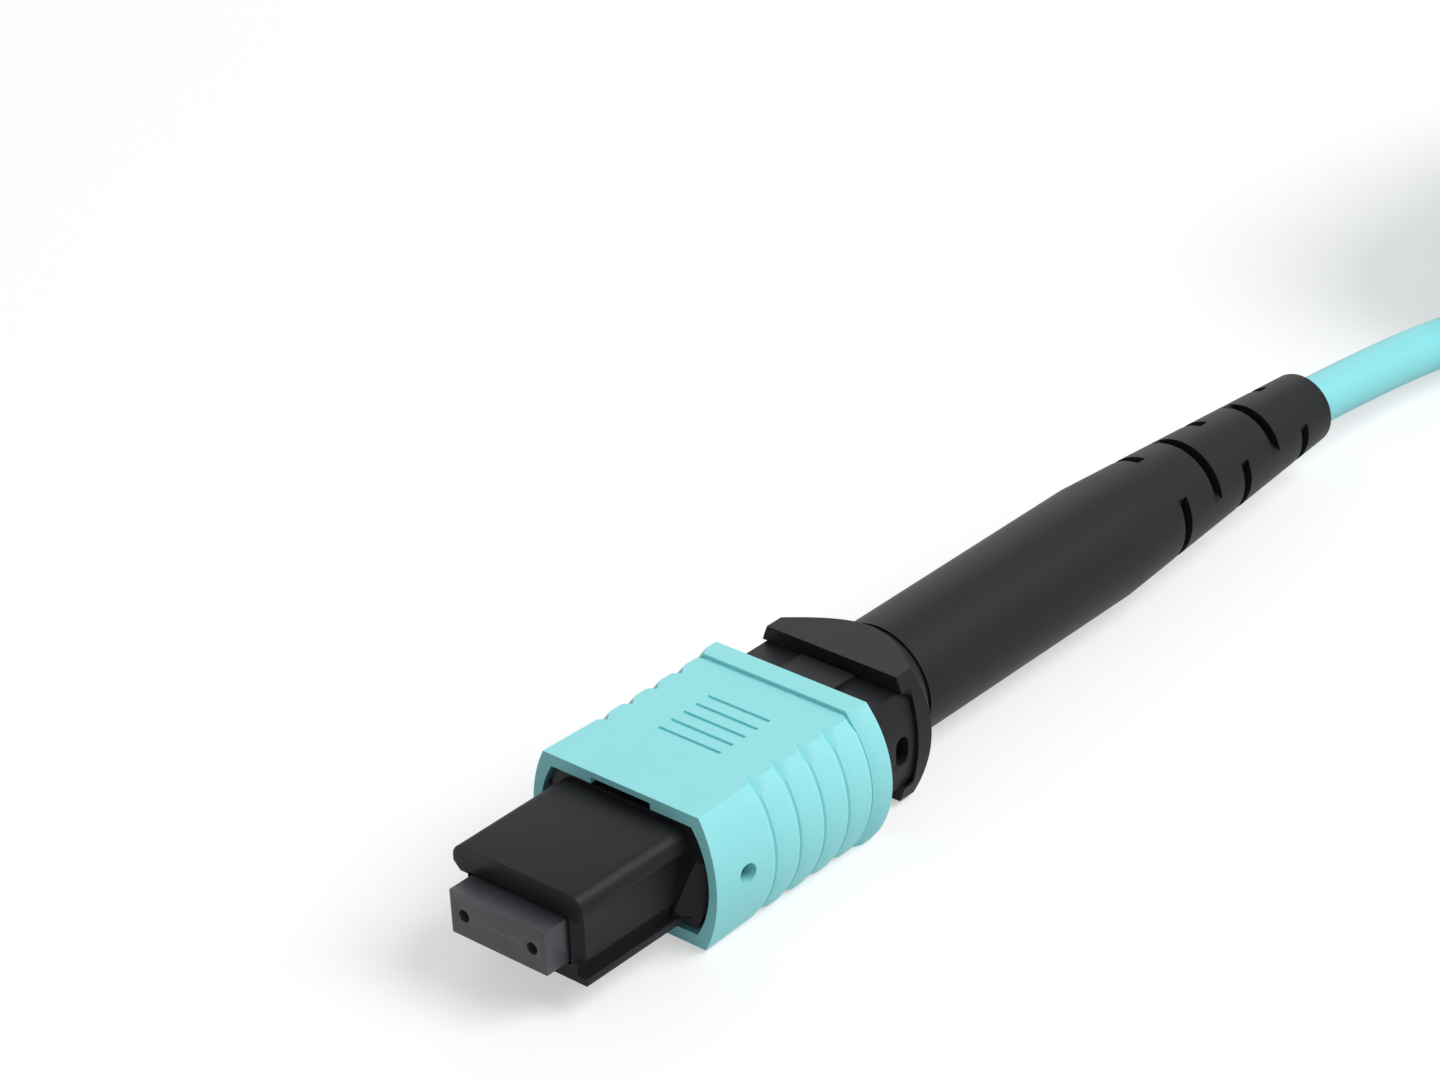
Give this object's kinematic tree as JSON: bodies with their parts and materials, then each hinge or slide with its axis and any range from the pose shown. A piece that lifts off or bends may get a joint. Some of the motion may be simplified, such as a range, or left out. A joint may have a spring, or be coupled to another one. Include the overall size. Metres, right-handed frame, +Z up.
{
  "type": "mpo fibre connector",
  "caption": "Rectangular multi-fibre push-pull plug with aqua pull sleeve, floating ferrule, slotted strain-relief boot and a round aqua pigtail in a tied hank.",
  "frame": {"origin": "under the middle of the plug, on the surface it lies on (the pull sleeve's flat underside)", "axes": "+Z up, Y along the plug with the mating face towards -Y and the cable towards +Y, X across its width"},
  "size_m": [0.0282, 0.1395, 0.0162],
  "materials": {
    "ferrule_plastic": "mineral-filled moulding, fine matt",
    "soft_boot": "soft matt",
    "steel_keeper": "stamped steel",
    "fibre": "coated glass ribbon",
    "spring_steel": "drawn wire",
    "black_housing": "fine spark-eroded moulding",
    "aqua_sleeve": "satin moulding",
    "black_rear_body": "satin moulding",
    "yarn": "aramid strands",
    "crimp_metal": "satin",
    "cable_jacket": "soft low-smoke jacket",
    "black_boot": "satin elastomer",
    "tie_strap": "woven hook-and-loop strap"
  },
  "bodies": {
    "housing": {"plug_frame": "black_housing", "rear_body": "black_rear_body", "main_spring": "spring_steel", "coupling_spring_left": "spring_steel", "coupling_spring_right": "spring_steel", "aramid_yarn": "yarn", "crimp_ring": "crimp_metal", "cable_in_boot": "cable_jacket", "strain_relief_boot": "black_boot", "cable_lead": "cable_jacket", "cable_hank": "cable_jacket", "hank_tie": "tie_strap"},
    "pull_sleeve": {"coupling_sleeve": "aqua_sleeve"},
    "floating_ferrule": {"mt_ferrule": "ferrule_plastic", "ferrule_boot": "soft_boot", "pin_keeper": "steel_keeper", "fibre_ribbon": "fibre"}
  },
  "joints": [
    {"name": "sleeve_slide", "type": "slide", "parent": "housing", "child": "pull_sleeve", "axis": [0, 1, 0], "range_m": [0, 0.002], "stiffness_N_per_m": 600, "deforming": ["coupling_spring_left", "coupling_spring_right"]},
    {"name": "ferrule_slide", "type": "slide", "parent": "housing", "child": "floating_ferrule", "axis": [0, 1, 0], "range_m": [0, 0.0009], "stiffness_N_per_m": 2500, "deforming": ["main_spring"]}
  ]
}
